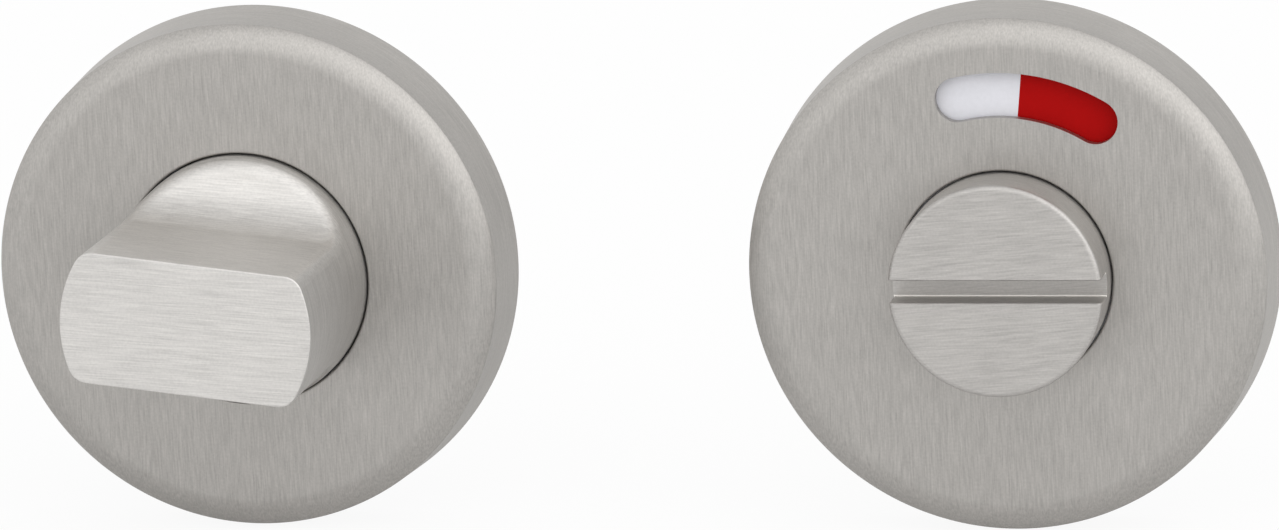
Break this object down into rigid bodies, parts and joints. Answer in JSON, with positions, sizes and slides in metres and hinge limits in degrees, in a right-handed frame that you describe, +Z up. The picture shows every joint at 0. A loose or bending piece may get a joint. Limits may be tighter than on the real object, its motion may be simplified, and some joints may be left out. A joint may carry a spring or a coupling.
{
  "type": "bathroom thumb turn lock",
  "caption": "Bathroom door lock set on round roses: a thumb turn for the inside and a coin-slot release with a red and white occupied window for the outside.",
  "frame": {"origin": "on the door face, at the thumb turn's axis", "axes": "+Z up on the door, -Y towards the user along both turning axes, +X from the thumb turn to the coin release"},
  "size_m": [0.131, 0.0724, 0.053],
  "materials": {
    "satin_rose": "satin stainless steel, brushed upright",
    "satin_turn": "satin stainless steel, brushed across",
    "cast_zinc": "bare zinc casting",
    "bearing_nylon": "natural nylon",
    "spring_steel": "phosphated spring steel",
    "plated_steel": "bright zinc plated steel",
    "spindle_steel": "drawn steel bar, zinc plated",
    "indicator_white": "smooth white plastic",
    "indicator_red": "smooth red plastic"
  },
  "bodies": {
    "door_fixed": {"turn_rose_cover": "satin_rose", "turn_base_plate": "cast_zinc", "turn_bearing_bush": "bearing_nylon", "turn_wood_screw_top": "plated_steel", "turn_wood_screw_bottom": "plated_steel", "release_rose_cover": "satin_rose", "release_base_plate": "cast_zinc", "release_bearing_bush": "bearing_nylon", "release_sleeve_left": "plated_steel", "release_sleeve_right": "plated_steel", "release_wood_screw_top": "plated_steel", "release_wood_screw_bottom": "plated_steel"},
    "thumb_turn": {"turn_knob": "satin_turn", "turn_spindle": "spindle_steel", "turn_spindle_pin": "spring_steel", "turn_wave_washer": "spring_steel", "turn_retaining_ring": "spring_steel"},
    "coin_release": {"release_boss": "satin_turn", "release_wave_washer": "spring_steel", "release_retaining_ring": "spring_steel", "indicator_disc": "indicator_white", "indicator_red_segment": "indicator_red"}
  },
  "joints": [
    {"name": "thumb_turn_rotation", "type": "hinge", "parent": "door_fixed", "child": "thumb_turn", "pos_m": [0, 0, 0], "axis": [0, 1, 0], "range_deg": [-7, 83]},
    {"name": "coin_release_rotation", "type": "hinge", "parent": "door_fixed", "child": "coin_release", "pos_m": [0.078, 0, 0], "axis": [0, 1, 0], "range_deg": [-45, 45]}
  ]
}
